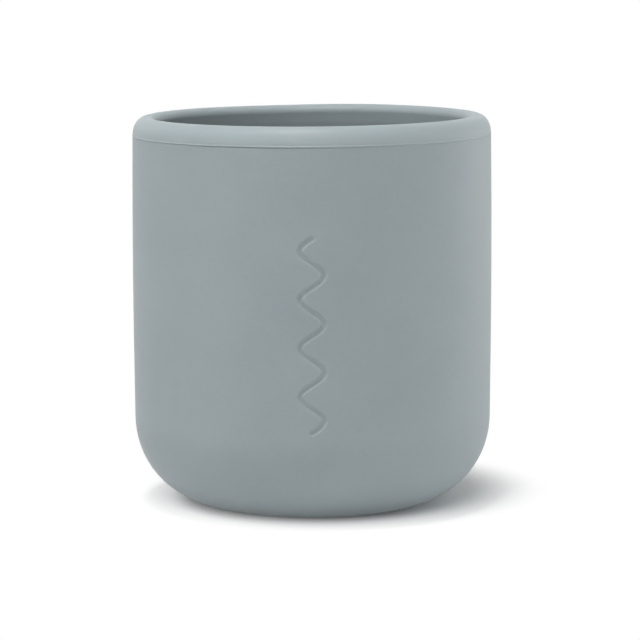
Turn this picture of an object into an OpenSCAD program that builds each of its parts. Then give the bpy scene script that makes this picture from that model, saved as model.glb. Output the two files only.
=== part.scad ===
// Silicone drinking cup: a thick-walled cup body with a round heel, and a lip ring bonded on top.
// Millimetres, +Z up. The origin is the centre of the foot, on the table.

/* [Cup body] */
// Outer diameter of the wall
cup_d = 75; // [60:0.5:95]
// Height from the table to the top of the lip
cup_h = 81.5; // [60:0.5:120]
// Thickness of the wall
wall_t = 5; // [3:0.1:8]
// Thickness of the floor
floor_t = 5; // [3:0.1:10]
// Outside radius of the round heel between wall and foot
heel_r = 18.5; // [8:0.1:26]
// Thickness through the round heel
heel_t = 5; // [3:0.1:7]

/* [Foot] */
// Width of the flat ring that the cup stands on
foot_w = 4; // [2:0.1:6]
// Depth of the dish inside the foot ring
dish_depth = 0.8; // [0.3:0.1:2]
// Width of the dish's sloping edge
dish_edge_w = 1.5; // [0.5:0.1:3]

/* [Lip ring] */
// Height of the lip ring above the joint
lip_h = 4; // [3:0.1:10]
// Radius of the lip's outer edge
lip_outer_r = 2.9; // [1:0.1:4]
// Radius of the lip's inner edge
lip_inner_r = 2; // [0.5:0.1:3]
// Least width of the flat left on top of the lip
lip_land = 0.1; // [0.05:0.01:0.5]

/* [Joint between lip ring and body] */
// Thickness of the ring's tongue
tongue_t = 1.6; // [0.8:0.1:2]
// Depth of the tongue below the joint
tongue_depth = 2.4; // [1:0.1:5]
// Bond line round the tongue
bond_gap = 0.1; // [0.05:0.01:0.3]
// Radius of the fine moulded bead that marks the joint
bead_r = 0.15; // [0.08:0.01:0.3]
// How far the bead stands out of the wall
bead_out = 0.1; // [0.03:0.01:0.14]
// Height of the joint's plain edge below the bead
bead_gap = 0.05; // [0.02:0.01:0.2]

/* [Hidden] */
$fn = 96;

silicone = "#959fa3";

outer_r = cup_d / 2;
inner_r = outer_r - wall_t;
joint_z = cup_h - lip_h;
bead_z = joint_z + bead_gap + bead_r;

// Inside the heel the radius leaves the thickness asked for
inner_heel_least = 1;
inner_heel_r = max(heel_r - heel_t, inner_heel_least);

// The flat foot ring ends where the heel starts to rise
foot_r = outer_r - heel_r;
dish_r = foot_r - foot_w;

// The lip's radii are kept to fine steps, so that its arcs meet its faces cleanly
fine_step = 0.01;
step_slack = 0.001;

// The lip's two edges shrink alike where the wall is too thin, or the ring too low, for both
thin_share = (wall_t - lip_land) / (lip_outer_r + lip_inner_r);
low_share = (cup_h - bead_z - bead_r) / max(lip_outer_r, lip_inner_r);
lip_share = min(1, thin_share, low_share);
lip_out = round_down(lip_outer_r * lip_share);
lip_in = round_down(lip_inner_r * lip_share);

// A length rounded down to a whole number of fine steps
function round_down(length) = floor(length / fine_step + step_slack) * fine_step;

// Quarter of a disc, in the quadrant that the signs of side give
module quarter_disc(r, side) {
    intersection() {
        circle(r);
        translate([min(side.x, 0), min(side.y, 0)] * 2 * r) square(2 * r);
    }
}

// Half section of an upright round form whose lower edge is rounded
module heel_section(radius, bottom, edge_r) {
    height = joint_z - bottom;
    translate([0, bottom]) square([radius - edge_r, height]);
    translate([0, bottom + edge_r]) square([radius, height - edge_r]);
    translate([radius - edge_r, bottom + edge_r]) quarter_disc(edge_r, [1, -1]);
}

// Half section of the shallow dish under the foot
module dish_section() {
    polygon([[0, 0], [dish_r, 0], [dish_r - dish_edge_w, dish_depth], [0, dish_depth]]);
}

// Half section of the tongue, or of its groove when grown by the bond line
module tongue_section(gap) {
    width = tongue_t + 2 * gap;
    depth = tongue_depth + gap;
    translate([outer_r - wall_t / 2 - width / 2, joint_z - depth]) square([width, depth]);
}

// Half section of the lip, with both top edges rounded
module lip_section() {
    land_in = inner_r + lip_in;
    land_out = outer_r - lip_out;
    translate([inner_r, joint_z]) square([lip_in, lip_h - lip_in]);
    translate([land_in, joint_z]) square([land_out - land_in, lip_h]);
    translate([land_out, joint_z]) square([lip_out, lip_h - lip_out]);
    translate([land_in, cup_h - lip_in]) quarter_disc(lip_in, [-1, 1]);
    translate([land_out, cup_h - lip_out]) quarter_disc(lip_out, [1, 1]);
}

// Thick wall, round heel and floor, with a groove in the top face for the lip ring
module cup_body() {
    color(silicone) rotate_extrude() difference() {
        heel_section(outer_r, 0, heel_r);
        heel_section(inner_r, floor_t, inner_heel_r);
        dish_section();
        tongue_section(bond_gap);
    }
}

// Round-edged lip that seats on the wall, keyed by a tongue, with the fine bead along its lower edge
module lip_ring() {
    color(silicone) rotate_extrude() {
        lip_section();
        tongue_section(0);
        translate([outer_r + bead_out - bead_r, bead_z]) circle(bead_r);
    }
}

cup_body();
lip_ring();
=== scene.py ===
import math

import bpy
import numpy as np
from mathutils import Euler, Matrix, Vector


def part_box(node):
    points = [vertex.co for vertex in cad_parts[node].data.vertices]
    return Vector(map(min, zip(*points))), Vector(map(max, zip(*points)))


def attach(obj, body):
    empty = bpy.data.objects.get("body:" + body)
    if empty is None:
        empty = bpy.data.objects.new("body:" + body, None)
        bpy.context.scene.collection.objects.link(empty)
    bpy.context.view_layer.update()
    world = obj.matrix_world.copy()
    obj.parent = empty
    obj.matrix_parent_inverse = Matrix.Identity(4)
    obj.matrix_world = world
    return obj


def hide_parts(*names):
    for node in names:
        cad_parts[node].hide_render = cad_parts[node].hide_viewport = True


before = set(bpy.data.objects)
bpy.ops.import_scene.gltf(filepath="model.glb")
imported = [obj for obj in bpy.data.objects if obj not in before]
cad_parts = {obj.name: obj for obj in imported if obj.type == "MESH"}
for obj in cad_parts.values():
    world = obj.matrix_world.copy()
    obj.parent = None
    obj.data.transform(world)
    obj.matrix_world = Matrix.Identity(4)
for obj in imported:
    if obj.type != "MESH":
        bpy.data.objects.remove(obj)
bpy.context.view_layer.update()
scene = bpy.context.scene

# Cup body
# One thick moulding of grey-blue silicone: a straight wall, a large round heel and a foot round a dish.
# It is peeled off its core while warm, which leaves the wall a touch crowned and no edge quite sharp.
# The groove in its top face takes the lip ring's tongue, and a plain wave is pressed into its front.

mm = 0.001
wall_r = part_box("cup_body")[1].x
joint_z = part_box("cup_body")[1].z
wall_t = 5 * mm
floor_t = 5 * mm
bore_r = wall_r - wall_t
heel_r = 18.5 * mm
heel_full = 1.065
heel_top_r = wall_r - 0.1 * mm
heel_top_z = heel_r + 0.5 * mm
inner_heel_r = 13.5 * mm

foot_w = 4 * mm
dish_r = wall_r - heel_r - foot_w
dish_slope = 1.5 * mm
dish_z = 0.8 * mm
dish_round = 1.2 * mm
gate_r = 1.6 * mm
gate_top_r = 0.96 * mm
gate_depth = 0.25 * mm
gate_round = 0.4 * mm

# The wall is widest at crown_z and falls away above and below it
crown_z = 52 * mm
crown_r = wall_r + 0.19 * mm
crown_reach = 22 * mm
shoulder_r = wall_r - 0.13 * mm

tongue_r = (wall_r + bore_r) / 2
tongue_half = 0.8 * mm
tongue_depth = 2.4 * mm
bond_gap = 0.1 * mm
groove_half = tongue_half + bond_gap
groove_z = joint_z - tongue_depth - bond_gap
notch_round = 0.3 * mm
soft_edge = 0.03 * mm
hidden_edge = 0.08 * mm

# The longest gaps between the points of a section
fine = 0.2 * mm
plain = 2.0 * mm


def outline(corners, closed=False):
    """Points of a section, from corners (radius, height, rounding, step), each rounded off by an arc.
    A rounding is a round arc's radius, or else the lengths that the arc takes off the lines before and
    after its corner, and how far it fills the corner, which is 1 for an ellipse.
    step is the longest gap between points on the corner's arc and on the straight line after it.
    An arc too small to be made out has few points."""
    arc_turn = math.radians(5)
    small_arc = 0.15 * mm
    small_arc_turn = math.radians(22.5)
    guard = 0.1 * mm
    spots = [Vector(corner[:2]) for corner in corners]
    count = len(spots)
    arcs = []
    for i, (_, _, rounding, step) in enumerate(corners):
        here = spots[i]
        if rounding == 0:
            arcs.append([here])
            continue
        back = (spots[i - 1] - here).normalized()
        ahead = (spots[(i + 1) % count] - here).normalized()
        half = back.angle(ahead) / 2
        if isinstance(rounding, tuple):
            cut_before, cut_after, fullness = rounding
        else:
            cut_before = cut_after = rounding / math.tan(half)
            fullness = 1
        first = here + back * cut_before
        last = here + ahead * cut_after
        chord = (last - first).length
        turn_step = small_arc_turn if chord < small_arc else arc_turn
        parts = max(2, math.ceil((math.pi - 2 * half) / turn_step), math.ceil(chord / step))
        arc = []
        for k in range(parts + 1):
            t = k / parts
            shares = ((1 - t) ** 2, 2 * fullness * math.sin(half) * t * (1 - t), t ** 2)
            arc.append((first * shares[0] + here * shares[1] + last * shares[2]) / sum(shares))
        arcs.append(arc)
    points = []
    for i, arc in enumerate(arcs):
        points += arc
        if i == count - 1 and not closed:
            break
        start = arc[-1]
        line = arcs[(i + 1) % count][0] - start
        parts = max(1, math.ceil(line.length / corners[i][3]))
        shares = {k / parts for k in range(1, parts)}
        # Points close to the ends of a line keep the smooth shading of the arcs off it
        if line.length > 4 * guard:
            shares |= {guard / line.length, 1 - guard / line.length}
        points += [start + line * share for share in sorted(shares)]
    return [tuple(point) for point in points]


def lathe(name, section, angles, press=None, closed=False):
    """Turns a section about the axis into a smooth mesh. press may move its points first."""
    radius, height = np.array(section).T
    rows = len(section)
    columns = len(angles)
    r = np.repeat(radius[:, None], columns, axis=1)
    z = np.repeat(height[:, None], columns, axis=1)
    a = np.repeat(np.array(angles)[None, :], rows, axis=0)
    if press:
        r, z = press(r, z, a)
    spread = np.stack([r * np.cos(a), r * np.sin(a), z], axis=-1)
    points = []
    index = np.zeros((rows, columns), int)
    for i in range(rows):
        on_axis = radius[i] == 0
        row = spread[i, :1] if on_axis else spread[i]
        index[i] = len(points) + (0 if on_axis else np.arange(columns))
        points.extend(map(tuple, row))
    faces = []
    for i in range(rows if closed else rows - 1):
        low = index[i]
        high = index[(i + 1) % rows]
        ring = zip(low, np.roll(low, -1), np.roll(high, -1), high)
        faces += [tuple(dict.fromkeys(map(int, face))) for face in ring]
    mesh = bpy.data.meshes.new(name)
    mesh.from_pydata(points, [], faces)
    mesh.validate()
    mesh.shade_smooth()
    made = bpy.data.objects.new(name, mesh)
    scene.collection.objects.link(made)
    return made


front = -math.pi / 2
wave_mid_z = 40 * mm
wave_length = 39 * mm
wave_count = 4
wave_reach = 2.4 * mm
wave_stroke = 0.9 * mm
wave_blend = 0.35 * mm
wave_depth = 0.3 * mm
wave_margin = wave_reach + wave_stroke
wave_points = 600
wall_skin = 1 * mm

seam_ends = front + math.radians(36)
seam_gap = math.radians(3)
seam_miss = 0.12 * mm
seam_reach = 0.8 * mm
seam_faint = 0.12
seam_wide = (
    (front - math.radians(23), math.radians(26), 0.88),
    (front + math.radians(180), math.radians(55), 0.5),
)
rim_drop = 0.33 * mm
rim_wave = 0.09 * mm
rim_wave_mid = math.radians(88)
rim_wave_spread = math.radians(20)
rim_bend_z = 45 * mm


def turn_from(a, start):
    """The shortest turn from one angle to another."""
    return (a - start + math.pi) % (2 * math.pi) - math.pi


def settle(z, a):
    """How far the soft cup's points lie off their true height. Its rim has sunk a touch on the left and
    waves at the back. The joint's line climbs a little on its way round, so its ends miss each other."""
    wave = turn_from(a, rim_wave_mid) / rim_wave_spread
    sag = rim_drop * (1 - np.cos(a)) / 2 + rim_wave * wave * np.exp((1 - wave ** 2) / 2)
    share = np.clip((z - rim_bend_z) / (joint_z - rim_bend_z), 0, 1)
    turn = ((a - seam_ends) / (2 * math.pi)) % 1
    near = np.clip(1 - np.abs(z - joint_z) / seam_reach, 0, 1)
    return near * seam_miss * (turn - 0.5) - share * sag


def seam_open(a):
    """How far the joint stands open, from 0 to 1. It is bonded shut where its two ends meet.
    Each wide stretch has a middle, a spread and an opening."""
    opening = seam_faint
    for middle, spread, wide in seam_wide:
        opening = opening + wide * np.exp(-(turn_from(a, middle) / spread) ** 2)
    shut = np.exp(-(turn_from(a, seam_ends) / seam_gap) ** 2)
    return opening * (1 - shut)


def body_press(r, z, a):
    """Presses the wave's groove into the front of the wall, and lets the joint open, close and climb."""
    in_joint = (r > shoulder_r - notch_round - hidden_edge) & (z > joint_z - notch_round)
    r = np.where(in_joint, shoulder_r + (r - shoulder_r) * seam_open(a), r)
    across = (a - front) * wall_r
    along = z - wave_mid_z
    near = (np.abs(across) < wave_margin) & (np.abs(along) < wave_length / 2 + wave_stroke)
    near &= r > wall_r - wall_skin
    line_along = np.linspace(-wave_length / 2, wave_length / 2, wave_points)
    line_across = wave_reach * np.sin(line_along / wave_length * wave_count * 2 * math.pi)
    gap = np.hypot(
        across[near][:, None] - line_across,
        along[near][:, None] - line_along,
    ).min(axis=1)
    inside = np.clip(((wave_stroke + wave_blend) / 2 - gap) / wave_blend, 0, 1)
    r[near] -= wave_depth * inside ** 2 * (3 - 2 * inside)
    return r, z + settle(z, a)


body_section = outline([
    (0, dish_z + gate_depth, 0, plain),
    (gate_top_r, dish_z + gate_depth, gate_round, fine),
    (gate_r, dish_z, gate_round, plain),
    (dish_r - dish_slope, dish_z, dish_round, plain),
    (dish_r, 0, dish_round, plain),
    (heel_top_r, 0, (heel_r, heel_r, heel_full), plain),
    (heel_top_r, heel_top_z, 0, fine),
    (crown_r, crown_z, (crown_reach, crown_reach, 1), fine),
    (shoulder_r, joint_z, notch_round, plain),
    (tongue_r + groove_half, joint_z, hidden_edge, plain),
    (tongue_r + groove_half, groove_z, hidden_edge, plain),
    (tongue_r - groove_half, groove_z, hidden_edge, plain),
    (tongue_r - groove_half, joint_z, hidden_edge, plain),
    (bore_r, joint_z, soft_edge, plain),
    (bore_r, floor_t, inner_heel_r, plain),
    (0, floor_t, 0, plain),
])

# Columns lie close together where the wave is pressed in
wave_turn = wave_margin / wall_r
wave_columns = np.arange(-wave_turn, wave_turn, fine / wall_r)
plain_count = 170
plain_columns = np.linspace(wave_turn, 2 * math.pi - wave_turn, plain_count, endpoint=False)
body_angles = front + np.concatenate([wave_columns, plain_columns])
cup_body = lathe("cup_body_moulding", body_section, body_angles, body_press)


class Wire:
    """An output in a node tree. Sums written with it add Math nodes."""

    def __init__(self, tree, socket=None):
        self.tree = tree
        self.socket = socket

    def node(self, kind, settings=None, inputs=None, output=0):
        """Adds a node, sets it up, fills or links its sockets and gives one of its outputs."""
        made = self.tree.nodes.new(kind)
        for key, value in (settings or {}).items():
            setattr(made, key, value)
        for key, value in (inputs or {}).items():
            if isinstance(value, Wire):
                self.tree.links.new(value.socket, made.inputs[key])
            else:
                made.inputs[key].default_value = value
        return Wire(self.tree, made.outputs[output] if made.outputs else None)

    def sum(self, operation, first, second):
        return self.node("ShaderNodeMath", {"operation": operation}, {0: first, 1: second})

    def __add__(self, other):
        return self.sum("ADD", self, other)

    __radd__ = __add__

    def __sub__(self, other):
        return self.sum("SUBTRACT", self, other)

    def __rsub__(self, other):
        return self.sum("SUBTRACT", other, self)

    def __mul__(self, other):
        return self.sum("MULTIPLY", self, other)

    __rmul__ = __mul__

    def __lt__(self, other):
        return self.sum("LESS_THAN", self, other)

    def __gt__(self, other):
        return self.sum("GREATER_THAN", self, other)

    def __or__(self, other):
        return self.sum("MAXIMUM", self, other)

    __ror__ = __or__

    def __abs__(self):
        return self.sum("ABSOLUTE", self, 0)


def shade(red, green, blue):
    """A linear colour from the 0 to 255 values of a colour chart."""
    return tuple(((c / 255 + 0.055) / 1.055) ** 2.4 for c in (red, green, blue)) + (1,)


# The scales of the silicone's finish are counts to a metre
cloud_scale = 55
cloud_share = 0.7
fleck_scale = 1500
dust_scale = 150
dust_size = 0.016
dust_cover = 0.25
dust_colour = shade(196, 198, 196)
scratch_scale = 1600
scratch_colour = shade(186, 191, 192)
dent_scale = 120
grain_scale = 3200
grain_share = 0.6
grain_strength = 0.5
grain_depth = 0.02 * mm
rough = 0.46
rough_cloud = 0.1
rough_fleck = 0.06
silicone_ior = 1.41
haze = 0.4
haze_depth = 1.8 * mm
sheen = 0.06
sheen_rough = 0.35


def silicone(name, deep, pale, worn_z, worn_reach, scuff, polish):
    """Matte silicone: pigment clouded a little, fine blasted grain, a few specks of dust.
    Near the height worn_z use has scuffed it paler or polished it smoother."""
    material = bpy.data.materials.new(name)
    material.use_nodes = True
    tree = material.node_tree
    tree.nodes.clear()
    start = Wire(tree)
    place = start.node("ShaderNodeTexCoord", output="Object")

    def noise(scale, detail):
        inputs = {"Vector": place, "Scale": scale, "Detail": detail}
        return start.node("ShaderNodeTexNoise", {"noise_dimensions": "3D"}, inputs)

    def mix(share, first, second):
        return start.node("ShaderNodeMix", {"data_type": "RGBA"}, {0: share, 6: first, 7: second}, 2)

    cloud = noise(cloud_scale, detail=3)
    fleck = noise(fleck_scale, detail=2)
    pigment = mix(cloud * cloud_share + fleck * (1 - cloud_share), deep, pale)

    specks = start.node("ShaderNodeTexVoronoi", {}, {"Vector": place, "Scale": dust_scale}, "Distance")
    dust = specks < dust_size
    dusty = mix(dust * dust_cover, pigment, dust_colour)

    height_up = start.node("ShaderNodeSeparateXYZ", {}, {0: place}, "Z")
    worn = start.node("ShaderNodeMapRange", {"interpolation_type": "SMOOTHSTEP"}, {
        "Value": abs(height_up - worn_z),
        "From Max": worn_reach,
        "To Min": 1,
        "To Max": 0,
    })
    scratched = noise(scratch_scale, detail=4)
    colour = mix(worn * scratched * scuff, dusty, scratch_colour)

    relief = noise(grain_scale, detail=3) * grain_share + noise(dent_scale, detail=2)
    bump = start.node("ShaderNodeBump", {}, {
        "Strength": grain_strength,
        "Distance": grain_depth,
        "Height": relief,
    })
    surface = start.node("ShaderNodeBsdfPrincipled", {}, {
        "Base Color": colour,
        "Roughness": rough + cloud * rough_cloud + fleck * rough_fleck - worn * polish,
        "IOR": silicone_ior,
        "Subsurface Weight": haze,
        "Subsurface Radius": (1, 1, 1),
        "Subsurface Scale": haze_depth,
        "Sheen Weight": sheen,
        "Sheen Roughness": sheen_rough,
        "Normal": bump,
    })
    start.node("ShaderNodeOutputMaterial", {}, {"Surface": surface})
    return material


foot_wear = 0.5 * mm
cup_silicone = silicone(
    "cup_silicone",
    deep=shade(141, 152, 156),
    pale=shade(157, 167, 170),
    worn_z=0,
    worn_reach=foot_wear,
    scuff=0.7,
    polish=-0.1,
)
cup_body.data.materials.append(cup_silicone)
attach(cup_body, "root")
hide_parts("cup_body")

# Lip ring
# A second silicone moulding, bonded on top of the wall by its tongue, with the round edge to drink from.
# A fine bead runs along its lower edge, where a little silicone was squeezed out and trimmed unevenly.

lip_top_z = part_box("lip_ring")[1].z
lip_r = shoulder_r - 0.04 * mm
lip_outer_up = 3.6 * mm
lip_outer_in = 2.8 * mm
lip_inner_in = 1.8 * mm
lip_inner_down = 1.7 * mm
bead_out = 0.12 * mm
bead_low = 0.06 * mm
bead_low_round = 0.03 * mm
bead_top = 0.16 * mm
bead_round = 0.05 * mm
bead_high = 0.36 * mm
bead_high_round = 0.1 * mm
bead_strong = front - math.radians(8)
bead_spread = math.radians(26)
bead_even = 0.45
bead_swell = 0.35
bead_ripples = ((0.2, 13, -2.7), (0.06, 29, 1.2))
lip_fine = 0.4 * mm
lip_count = 480


def bead_press(r, z, a):
    """Lets the bead swell and fade along the joint, and die away where its two ends meet.
    Each ripple has a height, a count of waves round the cup and a start."""
    swell = bead_even + bead_swell * np.exp(-(turn_from(a, bead_strong) / bead_spread) ** 2)
    for height, waves, start in bead_ripples:
        swell += height * np.sin(waves * (a - front) + start)
    swell *= 1 - np.exp(-(turn_from(a, seam_ends) / seam_gap) ** 2)
    proud = np.clip(r - shoulder_r, 0, None)
    on_bead = (z < joint_z + 2 * bead_high) & (z > joint_z)
    r = np.where(on_bead, r - proud * (1 - np.clip(swell, 0, 1)), r)
    under_bead = (r > shoulder_r - notch_round) & (z > joint_z) & (z < joint_z + bead_low)
    z = np.where(under_bead, joint_z + (z - joint_z) * seam_open(a), z)
    return r, z + settle(z, a)


lip_section = outline([
    (tongue_r + tongue_half, joint_z - tongue_depth, hidden_edge, lip_fine),
    (tongue_r + tongue_half, joint_z, hidden_edge, lip_fine),
    (shoulder_r - notch_round, joint_z, bead_low_round, lip_fine),
    (shoulder_r, joint_z + bead_low, bead_low_round, lip_fine),
    (shoulder_r + bead_out, joint_z + bead_top, bead_round, lip_fine),
    (lip_r, joint_z + bead_high, bead_high_round, lip_fine),
    (lip_r, lip_top_z, (lip_outer_up, lip_outer_in, 1), lip_fine),
    (bore_r, lip_top_z, (lip_inner_in, lip_inner_down, 1), lip_fine),
    (bore_r, joint_z, soft_edge, lip_fine),
    (tongue_r - tongue_half, joint_z, hidden_edge, lip_fine),
    (tongue_r - tongue_half, joint_z - tongue_depth, hidden_edge, lip_fine),
], closed=True)
lip_angles = front + np.linspace(0, 2 * math.pi, lip_count, endpoint=False)
lip_ring = lathe("lip_ring_moulding", lip_section, lip_angles, bead_press, closed=True)

lip_wear = 4 * mm
# The lip's colours are painted paler than the body's, as painted light for the light that falls on the
# top of the cup. It is the same silicone as the body.
lip_silicone_painted_paler = silicone(
    "lip_silicone_painted_paler",
    deep=shade(148, 159, 163),
    pale=shade(163, 173, 176),
    worn_z=lip_top_z,
    worn_reach=lip_wear,
    scuff=0,
    polish=0.06,
)
lip_ring.data.materials.append(lip_silicone_painted_paler)
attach(lip_ring, "root")
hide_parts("lip_ring")

# Floor and backdrop
# A plain white table top, and white all round it as in a light tent.
# Both look brighter than the light that they throw on the cup.
# The table shows the cup's shadow, and fades to plain white a short way from the shadow's middle.

floor_half = 2.0
floor_drop = 0.02 * mm
shadow_mid = (4 * mm, 10.5 * mm, 0)
shadow_r = 28 * mm
clear_r = 48 * mm
table_white = (0.8, 0.8, 0.8, 1)
shown_table_white = (1.3, 1.3, 1.3, 1)
full_white = (1, 1, 1, 1)
tent_light = 0.27

floor_mesh = bpy.data.meshes.new("floor")
floor_mesh.from_pydata(
    [(x * floor_half, y * floor_half, -floor_drop) for x, y in ((-1, -1), (1, -1), (1, 1), (-1, 1))],
    [],
    [(0, 1, 2, 3)],
)
floor = bpy.data.objects.new("floor", floor_mesh)
scene.collection.objects.link(floor)


def shown_rays(tree):
    """1 for the rays that look at the floor and backdrop, and 0 for those that carry their light."""
    kinds = ("Is Camera Ray", "Is Glossy Ray", "Is Transmission Ray")
    camera_ray, glossy_ray, clear_ray = (tree.node("ShaderNodeLightPath", output=kind) for kind in kinds)
    return camera_ray | glossy_ray | clear_ray


floor_white = bpy.data.materials.new("floor_white")
floor_white.use_nodes = True
floor_white.node_tree.nodes.clear()
board = Wire(floor_white.node_tree)
shown = shown_rays(board)
spot = board.node("ShaderNodeTexCoord", output="Object")
away = board.node("ShaderNodeVectorMath", {"operation": "DISTANCE"}, {0: spot, 1: shadow_mid}, "Value")
clear = board.node("ShaderNodeMapRange", {"interpolation_type": "SMOOTHSTEP"}, {
    "Value": away,
    "From Min": shadow_r,
    "From Max": clear_r,
})
table = board.node("ShaderNodeBsdfDiffuse", {}, {"Color": table_white})
bright_table = board.node("ShaderNodeBsdfDiffuse", {}, {"Color": shown_table_white})
white = board.node("ShaderNodeEmission", {}, {"Color": full_white, "Strength": 1})
shown_table = board.node("ShaderNodeMixShader", {}, {0: clear, 1: bright_table, 2: white})
table_top = board.node("ShaderNodeMixShader", {}, {0: shown, 1: table, 2: shown_table})
board.node("ShaderNodeOutputMaterial", {}, {"Surface": table_top})
floor_mesh.materials.append(floor_white)

world = bpy.data.worlds.new("light_tent")
scene.world = world
world.use_nodes = True
world.node_tree.nodes.clear()
tent = Wire(world.node_tree)
backdrop = tent.node("ShaderNodeBackground", {}, {
    "Color": full_white,
    "Strength": tent_light + shown_rays(tent) * (1 - tent_light),
})
tent.node("ShaderNodeOutputWorld", {}, {"Surface": backdrop})

# Lights
# A small soft box hangs over the cup, and two larger ones stand high on its left and in front of it.
# Long low white cards fill in its sides, most of all the shaded one on the right.

small_box = (0.15, 0.15)
large_box = (0.3, 0.3)
long_card = (0.6, 0.12)
cup_middle = Vector((0, 0, lip_top_z / 2))


def softbox(name, place, size, power):
    """An even rectangular lamp that faces the middle of the cup, with its power in watts."""
    lamp = bpy.data.lights.new(name, "AREA")
    lamp.shape = "RECTANGLE"
    lamp.size, lamp.size_y = size
    lamp.energy = power
    made = bpy.data.objects.new(name, lamp)
    made.location = place
    made.rotation_euler = (cup_middle - Vector(place)).to_track_quat("-Z", "Y").to_euler()
    scene.collection.objects.link(made)


softbox("softbox_over", (-0.08, -0.15, 0.75), small_box, 2.7)
softbox("softbox_left", (-0.5, -0.2, 0.6), large_box, 1.3)
softbox("softbox_front", (-0.05, -0.62, 0.5), large_box, 0.68)
softbox("card_left", (-0.8, -0.5, 0.05), long_card, 1.35)
softbox("card_right_front", (0.7, -0.6, 0.05), long_card, 1.6)
softbox("card_right", (0.9, 0, 0.05), long_card, 1.05)
softbox("card_right_back", (0.8, 0.45, 0.05), long_card, 1.36)

# Camera
# A long lens, a good arm's length from the cup.
# It looks at the cup from a little above the lip, as the photograph does.

photo_size = 640
focal_pixels = 2972.9
sensor_w = 36
camera_side = 1.61 * mm
camera_back = 620 * mm
camera_height = 123.42 * mm
camera_pitch = math.radians(7.832)
camera_roll = math.radians(-0.15)

lens = bpy.data.cameras.new("camera")
lens.sensor_fit = "HORIZONTAL"
lens.sensor_width = sensor_w
lens.lens = focal_pixels * sensor_w / photo_size
lens.clip_start = 10 * mm
camera = bpy.data.objects.new("camera", lens)
camera.location = (camera_side, -camera_back, camera_height)
level = Euler((math.pi / 2 - camera_pitch, 0, 0)).to_quaternion()
camera.rotation_euler = (level @ Euler((0, 0, camera_roll)).to_quaternion()).to_euler()
scene.collection.objects.link(camera)
scene.camera = camera

scene.view_settings.view_transform = "Standard"
